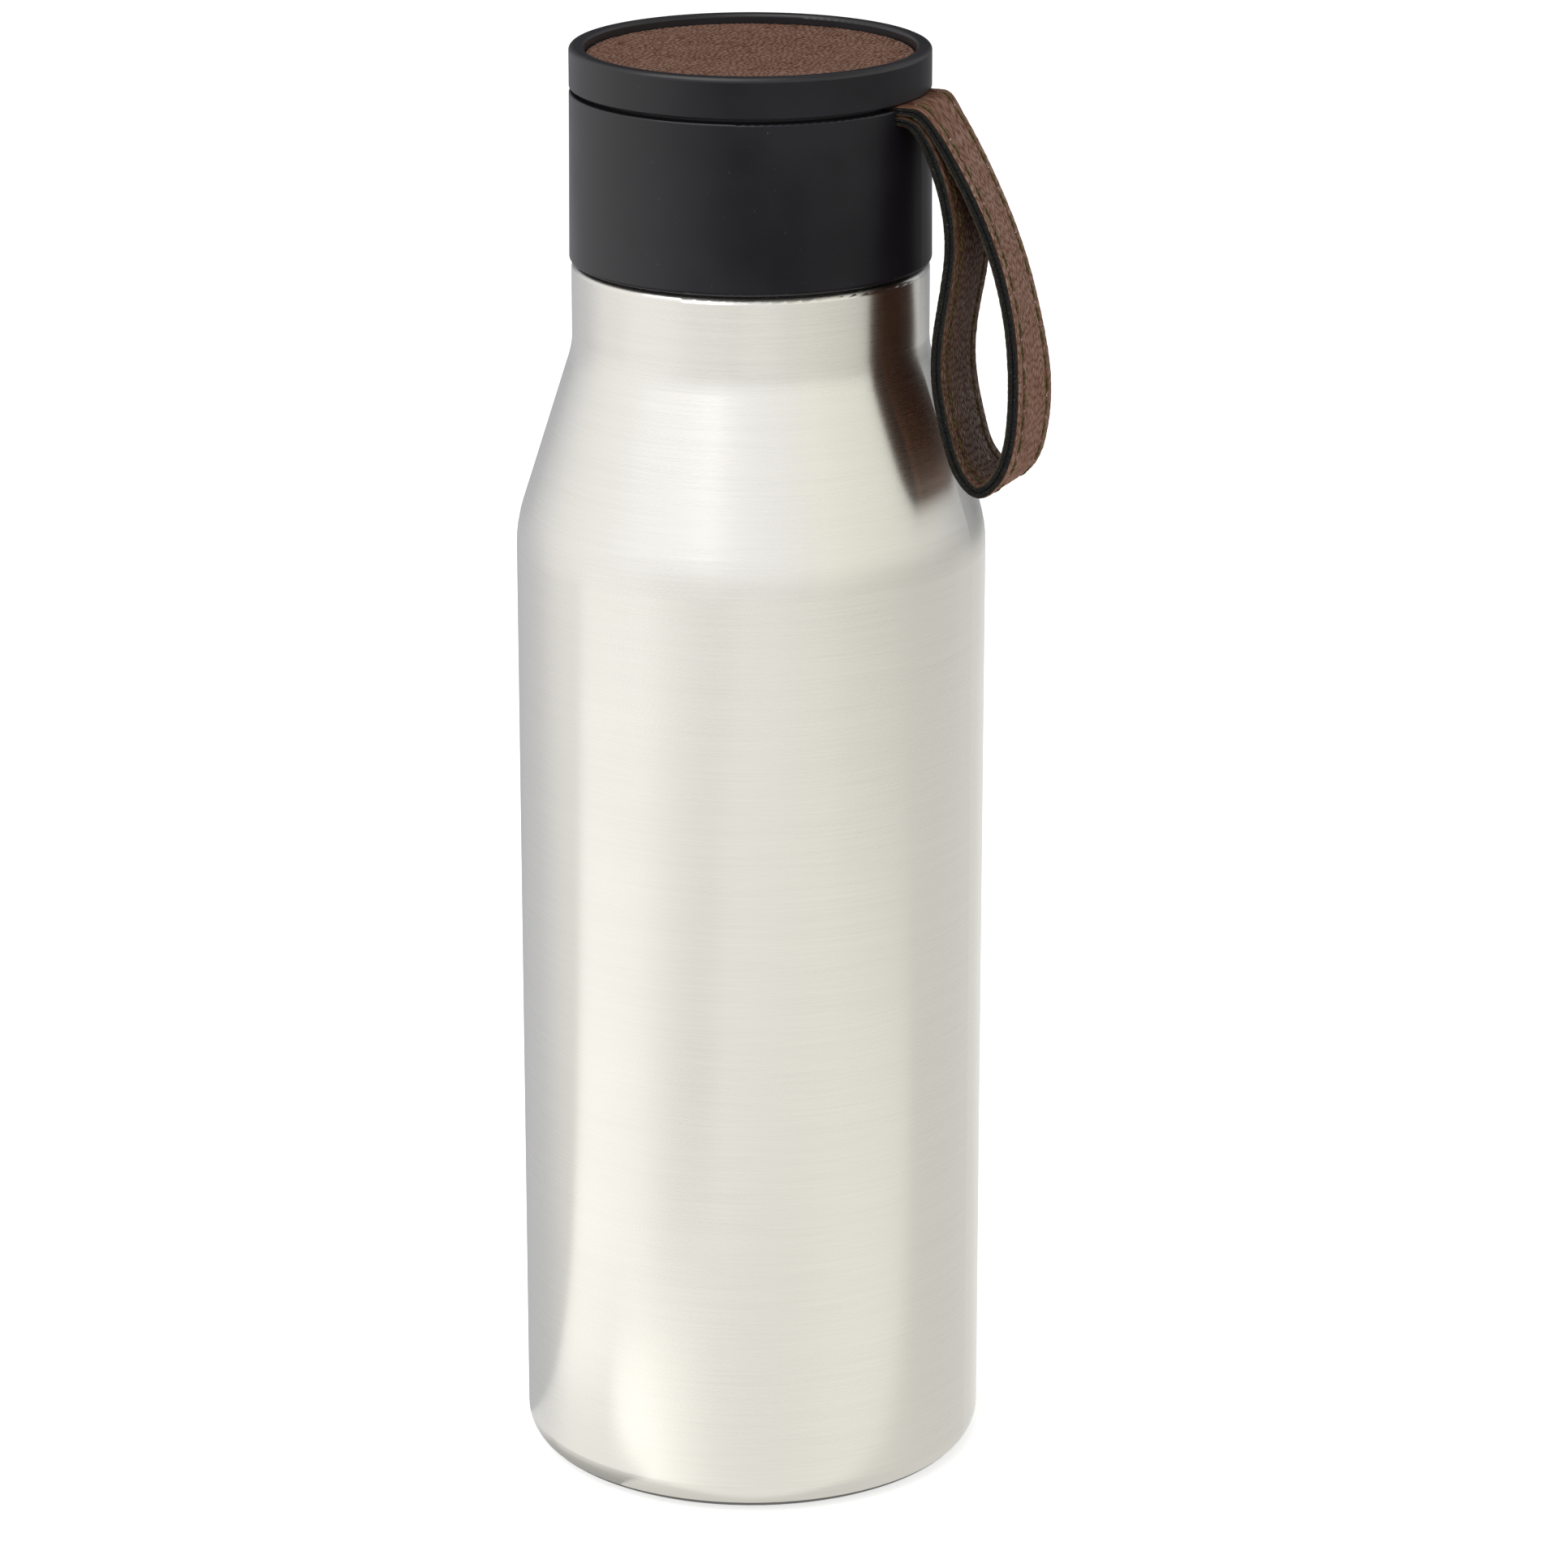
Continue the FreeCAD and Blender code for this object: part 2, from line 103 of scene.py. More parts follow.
# A dark part of the studio, low down in front, that the lid's side mirrors
LIGHT_LOW = [
    (-180, 0.50, COOL), (-130, 0.60, COOL), (-105, 0.98, NEUTRAL), (-62, 0.98, NEUTRAL),
    (-42, 0.55, NEUTRAL), (-18, 0.03, NEUTRAL), (20, 0.0, NEUTRAL), (45, 0.14, WARM), (80, 0.12, WARM),
    (115, 0.08, COOL), (150, 0.20, COOL), (168, 0.45, COOL), (180, 0.50, COOL),
]
# and one behind, just over the horizon, that the lid's rim mirrors.
LIGHT_HORIZON = [
    (-180, 0.05, COOL), (-163, 0.10, COOL), (-140, 0.72, COOL), (-105, 0.98, NEUTRAL), (-66, 1.06, NEUTRAL),
    (-25, 1.10, NEUTRAL), (0, 1.10, NEUTRAL), (30, 1.04, WARM), (60, 0.93, WARM), (95, 0.86, WARM),
    (130, 0.68, COOL), (158, 0.10, COOL), (180, 0.05, COOL),
]
GROUND = (0.15, 0.15, 0.15, 1)
ZENITH = (0.36, 0.36, 0.36, 1)
# Where each of these gives way to the next, as the upward part of a direction of length one
BAND_BOTTOM = (-0.55, -0.40)     # ground to the low band
BAND_TOP = (-0.14, 0.02)         # low band to the horizon
HORIZON_TOP = (0.45, 0.75)       # horizon to the light all round
HIGH = (0.55, 0.95)              # which dims towards the zenith
FLOOR_GLOW = 0.60
# Panels that lie on the floor: left, right, back and front from the bottle's axis, as seen from where the
# camera first stands, in metres, and brightness.
TABLE = [
    (-0.44, -0.06, 0.0, 0.25, 0.42), (-0.44, -0.06, 0.25, 1.30, 0.76), (-0.06, 0.25, 0.035, 0.25, 0.75),
    (-0.06, 0.25, 0.25, 1.30, 0.86), (0.25, 0.90, -0.60, 1.30, 0.60), (-0.02, 0.25, -0.60, 0.035, 0.56),
    (-0.06, -0.02, 0.0, 0.035, 0.24),
]


# ---- mesh helpers ----------------------------------------------------------------------------
def new_piece(name, points, faces, material, smooth=True, sharp_degrees=None):
    """A mesh object from points in millimetres."""
    mesh = bpy.data.meshes.new(name)
    mesh.from_pydata((np.asarray(points, float) * MM).tolist(), [], faces)
    mesh.polygons.foreach_set("use_smooth", [smooth] * len(mesh.polygons))
    if sharp_degrees:
        mesh.set_sharp_from_angle(angle=math.radians(sharp_degrees))
    mesh.update()
    mesh.materials.append(material)
    piece = bpy.data.objects.new(name, mesh)
    bpy.context.scene.collection.objects.link(piece)
    return piece


def store(piece, name, values):
    """Keeps one number per vertex, for the material to read."""
    attribute = piece.data.attributes.new(name, "FLOAT", "POINT")
    attribute.data.foreach_set("value", np.asarray(values, np.float32))


def smooth_step(low, high, x):
    t = np.clip((x - low) / (high - low), 0, 1)
    return t * t * (3 - 2 * t)


def waves(u, v, seed):
    """Smooth noise from -1 to 1 that changes over about one unit of u and v."""
    table = np.random.default_rng(seed).random((64, 64)) * 2 - 1
    iu, iv = np.floor(u).astype(int), np.floor(v).astype(int)
    fu, fv = smooth_step(0, 1, u - iu), smooth_step(0, 1, v - iv)
    corner = [[table[(iu + i) % 64, (iv + j) % 64] for j in (0, 1)] for i in (0, 1)]
    near = corner[0][0] * (1 - fu) + corner[1][0] * fu
    far = corner[0][1] * (1 - fu) + corner[1][1] * fu
    return near * (1 - fv) + far * fv


def pebbles(u, v, seed):
    """Cells about one unit wide: how far each point is inside its cell, and a random tone per cell."""
    table = np.random.default_rng(seed).random((64, 64, 3))
    iu, iv = np.floor(u).astype(int), np.floor(v).astype(int)
    best, second = np.full(np.shape(u), 9.0), np.full(np.shape(u), 9.0)
    tone = np.zeros(np.shape(u))
    for i in (-1, 0, 1):
        for j in (-1, 0, 1):
            cell = table[(iu + i) % 64, (iv + j) % 64]
            away = np.hypot(iu + i + 0.1 + 0.8 * cell[..., 0] - u, iv + j + 0.1 + 0.8 * cell[..., 1] - v)
            nearer = away < best
            second = np.where(nearer, best, np.minimum(second, away))
            tone = np.where(nearer, cell[..., 2], tone)
            best = np.where(nearer, away, best)
    return second - best, tone


def grain(u, v, cell_u, cell_v, seed):
    """Leather grain over a surface in millimetres, 0 in the creases to 1 on the pebbles, and a tone."""
    bend_u = u + 0.5 * cell_u * waves(u / cell_u / 2.1, v / cell_v / 2.1, seed + 1)
    bend_v = v + 0.5 * cell_v * waves(u / cell_u / 1.7, v / cell_v / 1.7, seed + 2)
    inside, tone = pebbles(bend_u / cell_u, bend_v / cell_v, seed)
    small, _ = pebbles(bend_u / cell_u * 2.3, bend_v / cell_v * 2.3, seed + 3)
    dome = 1 - (1 - np.clip(inside / 0.72, 0, 1)) ** 2
    return 0.84 * dome * (0.72 + 0.28 * tone) + 0.16 * smooth_step(0.0, 0.5, small), tone


# ---- node helpers ----------------------------------------------------------------------------
class Nodes:
    """Adds nodes to one tree; an input takes either a value or another node's output."""

    def __init__(self, tree):
        self.tree = tree

    def add(self, kind, inputs=None, **settings):
        made = self.tree.nodes.new(kind)
        for key, value in settings.items():
            setattr(made, key, value)
        for key, value in (inputs or {}).items():
            self.feed(made.inputs[key], value)
        return made

    def feed(self, socket, value):
        if isinstance(value, bpy.types.NodeSocket):
            self.tree.links.new(value, socket)
        else:
            socket.default_value = value

    def span(self, value, low, high, from_low=0.0, from_high=1.0, **settings):
        """Maps a number onto low to high."""
        inputs = {
            "Value": value, "From Min": from_low, "From Max": from_high, "To Min": low, "To Max": high,
        }
        return self.add("ShaderNodeMapRange", inputs, **settings).outputs["Result"]

    def math(self, operation, a, b):
        return self.add("ShaderNodeMath", {0: a, 1: b}, operation=operation).outputs[0]

    def ramp(self, value, *stops, interpolation="LINEAR"):
        """Colours at places from 0 to 1."""
        made = self.add("ShaderNodeValToRGB", {"Fac": value})
        made.color_ramp.interpolation = interpolation
        colours = made.color_ramp.elements
        while len(colours) < len(stops):
            colours.new(0.5)
        for element, (place, colour) in zip(colours, stops):
            element.position = place
            element.color = (*colour, 1)
        return made.outputs["Color"]

    def mix(self, share, a, b, blend="MIX"):
        made = self.add("ShaderNodeMix", data_type="RGBA", blend_type=blend)
        for socket, value in ((0, share), (6, a), (7, b)):
            self.feed(made.inputs[socket], value)
        return made.outputs[2]


class Shader(Nodes):
    """A material built round one Principled shader."""

    def __init__(self, name, **sockets):
        self.material = bpy.data.materials.new(name)
        self.material.use_nodes = True
        super().__init__(self.material.node_tree)
        self.principled = self.tree.nodes["Principled BSDF"]
        for socket, value in sockets.items():
            self.set(socket.replace("_", " "), value)

    def set(self, socket, value):
        self.feed(self.principled.inputs[socket], value)

    def place(self, scale=(1, 1, 1)):
        """Position in the object, in metres, stretched by scale."""
        here = self.add("ShaderNodeTexCoord").outputs["Object"]
        return self.add("ShaderNodeMapping", {"Vector": here, "Scale": scale}).outputs["Vector"]

    def noise(self, scale, detail=2.0, roughness=0.5, stretch=(1, 1, 1)):
        inputs = {"Vector": self.place(stretch), "Scale": scale, "Detail": detail, "Roughness": roughness}
        return self.add("ShaderNodeTexNoise", inputs).outputs["Fac"]

    def attribute(self, name):
        return self.add("ShaderNodeAttribute", attribute_name=name).outputs["Fac"]

    def bump(self, height, depth, strength=1.0, onto=None):
        """Relief of a depth in millimetres."""
        inputs = {"Height": height, "Distance": depth * MM, "Strength": strength}
        if onto:
            inputs["Normal"] = onto
        return self.add("ShaderNodeBump", inputs).outputs["Normal"]


# ---- materials -------------------------------------------------------------------------------
def brushed_steel(name, colour, roughness, brushing, fine=5200.0):
    """Steel polished round and round: fine lines along the circumference, which smear light up and down."""
    steel = Shader(name, Metallic=1.0, Anisotropic=brushing, Anisotropic_Rotation=0.25)
    around = (0.012, 0.012, 1.0)
    lines = steel.noise(fine, 3.0, 0.6, around)
    clouds = steel.noise(60.0, 2.0, 0.5, (0.35, 0.35, 1.0))
    bands = steel.noise(900.0, 2.0, 0.5, (0.02, 0.02, 1.0))
    dim = [c * 0.93 for c in colour]
    share = [steel.span(pattern, 0.0, most, 0.3, 0.7) for pattern, most in ((lines, 0.80), (bands, 0.20))]
    steel.set("Base Color", steel.mix(steel.math("ADD", *share), (*dim, 1), (*colour, 1)))
    smudges = steel.span(clouds, roughness - 0.03, roughness + 0.03)
    steel.set("Roughness", steel.math("ADD", steel.span(lines, -0.03, 0.03), smudges))
    steel.set("Normal", steel.bump(lines, 0.00035, 1.0, steel.bump(bands, 0.0005)))
    tangent = steel.add("ShaderNodeTangent", direction_type="RADIAL", axis="Z")
    steel.set("Tangent", tangent.outputs["Tangent"])
    return steel.material


def moulded_plastic(name, colour, roughness, texture=0.006):
    """Matte moulded plastic: a fine spark-eroded texture, faint flow clouds and a little dust."""
    plastic = Shader(name, Specular_IOR_Level=0.5)
    fine = plastic.noise(5200.0, 2.0, 0.6)
    clouds = plastic.noise(55.0, 3.0, 0.55)
    dust = plastic.noise(2600.0, 1.0, 0.4)
    lighter = [c * 1.25 + 0.002 for c in colour]
    base = plastic.mix(plastic.span(clouds, 0.0, 1.0, 0.35, 0.65), (*colour, 1), (*lighter, 1))
    specks = plastic.span(dust, 0.0, 0.30, 0.77, 0.83)
    plastic.set("Base Color", plastic.mix(specks, base, (0.16, 0.16, 0.165, 1)))
    plastic.set("Roughness", plastic.span(clouds, roughness - 0.04, roughness + 0.05, 0.3, 0.7))
    plastic.set("Normal", plastic.bump(fine, texture))
    return plastic.material


def leather(name, crease, middle, top, gloss, sheen):
    """Grained leather. The relief itself is in the mesh; this adds colour, pores and the pebbles' sheen.
    Its colour runs from dark in the creases to light on the pebble tops: painted shade and painted
    highlight round the leather's own tone.
    """
    skin = Shader(name)
    height = skin.attribute("grain")
    tone = skin.attribute("tone")
    sunk = skin.attribute("sunk")
    pores = skin.noise(7000.0, 3.0, 0.65)
    patches = skin.noise(140.0, 3.0, 0.6)
    # painted shade in the creases and painted highlight on the pebble tops; on the strap the stored grain
    # also carries painted shade
    colour = skin.ramp(height, (0.08, crease), (0.50, middle), (0.88, top))
    varied = skin.mix(skin.span(tone, 0.0, 0.30), colour, (*[c * 0.72 for c in middle], 1))
    faded = skin.mix(skin.span(patches, 0.0, 0.18, 0.35, 0.75), varied, (*[c * 1.08 for c in top], 1))
    # darker and redder along the stitch grooves and needle holes
    redder = (crease[0] * 1.25, crease[1] * 0.95, crease[2] * 0.9, 1)
    skin.set("Base Color", skin.mix(skin.span(sunk, 0.0, 0.65), faded, redder))
    polish = skin.span(height, gloss + 0.22, gloss)
    skin.set("Roughness", skin.math("ADD", polish, skin.span(pores, -0.06, 0.06, 0.3, 0.7)))
    skin.set("Specular IOR Level", skin.span(height, 0.03, sheen, 0.35, 0.90))
    skin.set("Normal", skin.bump(pores, 0.03, 0.7))
    return skin.material


def cut_edge(name, dark, light):
    """The raw cut side of a leather skin."""
    edge = Shader(name, Roughness=0.9, Specular_IOR_Level=0.1)
    fibres = edge.noise(3800.0, 3.0, 0.7)
    edge.set("Base Color", edge.ramp(fibres, (0.3, dark), (0.7, light)))
    edge.set("Normal", edge.bump(fibres, 0.05))
    return edge.material


def felt():
    """Black fibrous backing between the skins: darkest in its middle seam, olive next to the leather."""
    cloth = Shader("strap_backing", Roughness=0.95, Specular_IOR_Level=0.08)
    tufts = cloth.noise(3600.0, 4.0, 0.75)
    black, grey, lint = (0.004, 0.004, 0.004), (0.019, 0.0185, 0.018), (0.10, 0.10, 0.097)
    fluff_and_glint_paint = cloth.ramp(tufts, (0.34, black), (0.58, grey), (0.80, lint))
    level = cloth.attribute("level")
    seam = cloth.mix(cloth.span(level, 0.7, 0.0, 0.0, 0.30), fluff_and_glint_paint, (0.001, 0.001, 0.001, 1))
    by_skin = cloth.span(level, 0.0, 0.75, 0.70, 0.98)
    cloth.set("Base Color", cloth.mix(by_skin, seam, (0.045, 0.040, 0.028, 1)))
    cloth.set("Normal", cloth.bump(tufts, 0.10))
    return cloth.material


def thread_material():
    """Olive sewing thread; the twist is in the mesh, and this adds its fibres. Its colour is dark where the
    plies meet and light on their crests: painted shade and painted highlight.
    """
    thread = Shader("thread_olive", Roughness=0.7, Specular_IOR_Level=0.25)
    fibres = thread.noise(6500.0, 2.0, 0.6)
    ply = thread.attribute("ply")
    # painted shade between the plies and painted highlight on their crests
    ply_painted_shading = thread.ramp(ply, (0.1, (0.016, 0.012, 0.003)), (0.9, (0.108, 0.082, 0.021)))
    thread.set("Base Color", thread.mix(thread.span(fibres, 0.0, 0.5), ply_painted_shading, (0.035, 0.030, 0.006, 1)))
    thread.set("Normal", thread.bump(fibres, 0.02))
    return thread.material


def plain_with_noise(name, dark, light, scale, roughness, depth, **sockets):
    """For hidden and small parts: a two-tone surface with a fine relief."""
    made = Shader(name, **sockets)
    pattern = made.noise(scale, 4.0, 0.6)
    made.set("Base Color", made.ramp(pattern, (0.3, dark), (0.7, light)))
    made.set("Roughness", made.span(pattern, roughness - 0.06, roughness + 0.06, 0.3, 0.7))
    made.set("Normal", made.bump(pattern, depth))
    return made.material


# ---- leather disc in the lid's top -----------------------------------------------------------
def inlay_piece(material):
    """The round leather inlay, with its grain as real relief and a turned-down edge."""
    low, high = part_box("leather_inlay")
    radius, bottom, top = high.x / MM, low.z / MM, high.z / MM
    count, relief, rounding, drop = 306, 0.13, 0.55, 0.30
    line = np.linspace(-1, 1, count)
    a, b = np.meshgrid(line, line, indexing="ij")
    x, y = a * np.sqrt(1 - b * b / 2), b * np.sqrt(1 - a * a / 2)
    share = np.hypot(x, y)
    x, y = x * radius, y * radius
    height, tone = grain(x, y, 0.84, 0.84, seed=11)
    turned = smooth_step(0, 1, (share * radius - radius + rounding) / rounding)
    edge = np.sqrt(np.clip(1 - turned ** 2, 0, 1))
    z = top - relief + relief * height * edge - drop * (1 - edge)
    points = np.stack([x, y, z], -1).reshape(-1, 3)
    index = np.arange(count * count).reshape(count, count)
    quads = np.stack([index[:-1, :-1], index[1:, :-1], index[1:, 1:], index[:-1, 1:]], -1).reshape(-1, 4)
    rim = np.concatenate([index[:-1, 0], index[-1, :-1], index[:0:-1, -1], index[0, :0:-1]])
    under = points[rim].copy()
    under[:, 2] = bottom
    lower = np.arange(len(rim)) + count * count
    after = np.roll(np.arange(len(rim)), -1)
    sides = np.stack([rim[after], rim, lower, lower[after]], -1)
    faces = quads.tolist() + sides.tolist() + [lower[::-1].tolist()]
    points = np.concatenate([points, under])
    piece = new_piece("leather_top_disc", points, faces, material, sharp_degrees=60)
    none = np.zeros(len(rim))
    store(piece, "grain", np.concatenate([height.ravel(), none]))
    store(piece, "tone", np.concatenate([tone.ravel(), none]))
    store(piece, "sunk", np.zeros(len(piece.data.vertices)))
    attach(piece, "lid")
    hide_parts("leather_inlay")


# ---- strap -----------------------------------------------------------------------------------
def smooth_line(points, spacing):
    """Points evenly spaced on the natural cubic curve through the given (x, z, far edge's shift) points."""
    points = np.asarray(points, float)
    knots = np.concatenate([[0], np.cumsum(np.linalg.norm(np.diff(points[:, :2], axis=0), axis=1))])
    gap = np.diff(knots)
    system, pull = np.eye(len(points)), np.zeros_like(points)
    for i in range(1, len(points) - 1):
        system[i, i - 1:i + 2] = gap[i - 1], 2 * (gap[i - 1] + gap[i]), gap[i]
        pull[i] = 6 * ((points[i + 1] - points[i]) / gap[i] - (points[i] - points[i - 1]) / gap[i - 1])
    bend = np.linalg.solve(system, pull)
    at = np.linspace(0, knots[-1], 6000)
    k = np.clip(np.searchsorted(knots, at) - 1, 0, len(gap) - 1)
    a = ((knots[k + 1] - at) / gap[k])[:, None]
    b = 1 - a
    curved = ((a ** 3 - a) * bend[k] + (b ** 3 - b) * bend[k + 1]) * gap[k][:, None] ** 2 / 6
    fine = a * points[k] + b * points[k + 1] + curved
    length = np.concatenate([[0], np.cumsum(np.linalg.norm(np.diff(fine[:, :2], axis=0), axis=1))])
    even = np.linspace(0, length[-1], int(length[-1] / spacing) + 1)
    return np.stack([np.interp(even, length, fine[:, i]) for i in range(3)], 1), even


class Strap:
    """The strap's middle line with its outward direction and thickness at each place along it."""

    def __init__(self):
        straight = [[(*point, 0.0) for point in part] for part in (LINE_IN, LINE_OUT)]
        places, self.along = smooth_line(straight[0] + LOOP + straight[1], STRAP_STEP)
        self.line, self.shift = places[:, :2], places[:, 2]
        step = np.gradient(self.line, axis=0)
        step /= np.linalg.norm(step, axis=1)[:, None]
        self.outward = np.stack([-step[:, 1], step[:, 0]], 1)
        turn = np.gradient(np.unwrap(np.arctan2(step[:, 1], step[:, 0])), self.along)
        self.hollow = smooth_step(0.12, 0.35, -turn)
        x = self.line[:, 0]
        inside = AT_SLOT - (AT_SLOT - THIN) * smooth_step(26.0, 20.0, x)
        out = np.hypot(x - SLOT_X, self.line[:, 1] - SLOT_Z) * (x > SLOT_X)
        free = 0.65 * smooth_step(0.7, 2.2, out) + 0.35 * smooth_step(2.5, 7.5, out)
        self.thickness = inside + (FULL - inside) * free
        first = len(self.along) // 3
        self.slot = np.interp(SLOT_X, x[:first], self.along[:first])

    def at(self, along, across, off):
        """Points in space for places along the strap, across it and off its middle."""
        along, across, off = np.broadcast_arrays(along, across, off)
        line_x, line_z, out_x, out_z, shift = (
            np.interp(along, self.along, values)
            for values in (*self.line.T, *self.outward.T, self.shift)
        )
        far = (across + STRAP_HALF_WIDTH) / (2 * STRAP_HALF_WIDTH)
        return np.stack([line_x + off * out_x + far * shift, across, line_z + off * out_z], -1)

    def half(self, along):
        return np.interp(along, self.along, self.thickness) / 2

    def stitch_places(self):
        """Middle of each stitch along the strap, from just inside the slot all the way round."""
        last = self.along[-1] - self.slot
        count = int((last - self.slot) / STITCH_PITCH)
        spare = last - self.slot - (count - 1) * STITCH_PITCH
        return self.slot + spare / 2 + STITCH_PITCH * np.arange(count)


def sink_at_stitches(strap, along, across):
    """How far the skin is drawn in along the stitch rows, most at the needle holes."""
    from_row = np.abs(np.abs(across) - STITCH_ROW)
    first = strap.stitch_places()[0] - STITCH_PITCH / 2
    from_hole = np.abs((along - first + STITCH_PITCH / 2) % STITCH_PITCH - STITCH_PITCH / 2)
    groove = GROOVE_DEPTH * np.exp(-((from_row / GROOVE_WIDTH) ** 2))
    hole = HOLE_DEPTH * np.exp(-((from_row / HOLE_ACROSS) ** 2) - (from_hole / HOLE_ALONG) ** 2)
    return groove + hole


def strap_skin(strap, side, name, materials, cells, seed):
    """One leather skin of the strap: side is 1 on the outside of the loop, -1 on its inside."""
    across = STRAP_HALF_WIDTH * np.linspace(-1, 1, STRAP_COLUMNS)[None, :]
    along = strap.along[:, None]
    still = 0 * strap.along
    # the cut edge wavers
    cut = 0.05 * waves(strap.along / 0.9, still, seed + 7)
    cut += 0.02 * waves(strap.along / 0.23, still, seed + 8)
    across = across * (1 + cut[:, None] / STRAP_HALF_WIDTH)
    other_slot = strap.along[-1] - strap.slot
    near_slot = np.minimum(np.abs(strap.along - strap.slot), np.abs(other_slot - strap.along))
    # the grain is drawn out lengthwise at the slot, flattened along the stitch rows, and fades at the edges
    drawn_out = 1 + 1.3 * np.exp(-((near_slot / 10) ** 2))
    lengths = np.cumsum(np.gradient(strap.along) / drawn_out)[:, None]
    height, tone = grain(lengths + 0 * across, across + 0 * along, *cells, seed)
    pressed = 1 - 0.65 * np.exp(-(((np.abs(across) - STITCH_ROW) / 0.40) ** 2))
    edge = smooth_step(0.0, 0.45, STRAP_HALF_WIDTH - np.abs(across))
    ripple = 0.10 * waves(along / 0.75 + 0 * across, across / 4.5, seed + 5) * strap.hollow[:, None]
    surface = strap.half(along) - 0.09 + RELIEF * height * edge * pressed - 0.10 * (1 - edge)
    surface = surface + ripple * (side < 0) - sink_at_stitches(strap, along, across)
    outer = strap.at(along, across, side * surface)
    back = strap.at(along, across[:, [0, -1]], side * (strap.half(along) - SKIN - OVERLAP))
    rows = len(strap.along)
    index = np.arange(rows * STRAP_COLUMNS).reshape(rows, STRAP_COLUMNS)
    lower = np.arange(rows * 2).reshape(rows, 2) + rows * STRAP_COLUMNS
    quads = np.stack([index[:-1, :-1], index[1:, :-1], index[1:, 1:], index[:-1, 1:]], -1).reshape(-1, 4)
    left = np.stack([index[:-1, 0], lower[:-1, 0], lower[1:, 0], index[1:, 0]], -1)
    right = np.stack([index[1:, -1], lower[1:, 1], lower[:-1, 1], index[:-1, -1]], -1)
    floor = np.stack([lower[:-1, 0], lower[:-1, 1], lower[1:, 1], lower[1:, 0]], -1)
    ends = [index[0].tolist() + lower[0, ::-1].tolist(), index[-1, ::-1].tolist() + lower[-1].tolist()]
    faces = quads.tolist() + left.tolist() + right.tolist() + floor.tolist() + ends
    if side > 0:
        faces = [face[::-1] for face in faces]
    points = np.concatenate([outer.reshape(-1, 3), back.reshape(-1, 3)])
    piece = new_piece(name, points, faces, materials[0], sharp_degrees=70)
    piece.data.materials.append(materials[1])
    slots = np.zeros(len(faces), np.int32)
    slots[len(quads):] = 1
    piece.data.polygons.foreach_set("material_index", slots)
    none = np.zeros(rows * 2)
    stitch_groove_share = np.clip(sink_at_stitches(strap, along, across) / 0.2, 0, 1)
    # painted shade: darker and duller at the slot, under the lid, and on the outer skin where the loop
    # faces the bottle and lies in shade; it scales down the stored grain
    half_way = strap.along[-1] / 2
    bottle_side_shade = smooth_step(half_way + 6, half_way + 22, strap.along) * (side > 0)
    duller_with_painted_shade = 1 - 0.25 * np.exp(-((near_slot / 7) ** 2)) - 0.80 * bottle_side_shade
    store(piece, "grain", np.concatenate([(height * duller_with_painted_shade[:, None]).ravel(), none]))
    store(piece, "tone", np.concatenate([tone.ravel(), none]))
    store(piece, "sunk", np.concatenate([stitch_groove_share.ravel(), none]))
    return piece


def strap_core(strap, material):
    """Black backing between the skins: two felted layers with a fine line between them at the cut edges."""
    steps = 15
    level = np.linspace(1, -1, steps)
    rng = np.random.default_rng(5)
    rows = len(strap.along)
    ring_off, ring_across = [], []
    for side in (1, -1):
        levels = level if side > 0 else level[::-1]
        tufts = rng.normal(0, 0.035, (rows, steps))
        slow = 0.05 * waves(strap.along[:, None] / 0.6, 3 * levels[None, :], 21 + side)
        seam = 0.13 * np.exp(-((levels / 0.10) ** 2)) + 0.05 * levels ** 4
        ring_across.append(side * (STRAP_HALF_WIDTH - 0.03 - seam[None, :] + tufts + slow))
        ring_off.append(np.broadcast_to(levels, (rows, steps)))
    across, level_at = np.concatenate(ring_across, 1), np.concatenate(ring_off, 1)
    along = strap.along[:, None]
    points = strap.at(along, across, level_at * (strap.half(along) - SKIN + 0.03))
    count = 2 * steps
    index = np.arange(rows * count).reshape(rows, count)
    beside = np.roll(index, -1, axis=1)
    quads = np.stack([index[:-1], beside[:-1], beside[1:], index[1:]], -1).reshape(-1, 4)
    faces = quads.tolist() + [index[0, ::-1].tolist(), index[-1].tolist()]
    piece = new_piece("strap_backing", points.reshape(-1, 3), faces, material, sharp_degrees=75)
    store(piece, "level", np.abs(level_at).ravel())
    return piece


def edge_fibres(strap, material):
    """Short loose fibres that stand out of the backing's cut edges."""
    rng = np.random.default_rng(17)
    count = 7000
    along = rng.uniform(strap.along[0] + 16, strap.along[-1] - 16, count)
    side = rng.choice([-1.0, 1.0], count)
    level = rng.uniform(-0.9, 0.9, count) * (strap.half(along) - SKIN)
    reach = rng.uniform(0.05, 0.27, count)
    lean = rng.normal(0, 0.14, (count, 2))
    thick = 0.011
    root = side * (STRAP_HALF_WIDTH - 0.12)
    foot = [strap.at(along + thick * math.cos(t), root, level + thick * math.sin(t)) for t in (0, 2.1, 4.2)]
    tip = strap.at(along + lean[:, 0], side * (STRAP_HALF_WIDTH - 0.03 + reach), level + lean[:, 1])
    points = np.stack([*foot, tip], 1).reshape(-1, 3)
    base = 4 * np.arange(count)[:, None]
    faces = []
    for a, b in ((0, 1), (1, 2), (2, 0)):
        faces += (base + [a, b, 3]).tolist()
    faces += (base + [2, 1, 0]).tolist()
    piece = new_piece("strap_edge_fibres", points, faces, material)
    store(piece, "level", np.full(len(points), 0.5))
    return piece


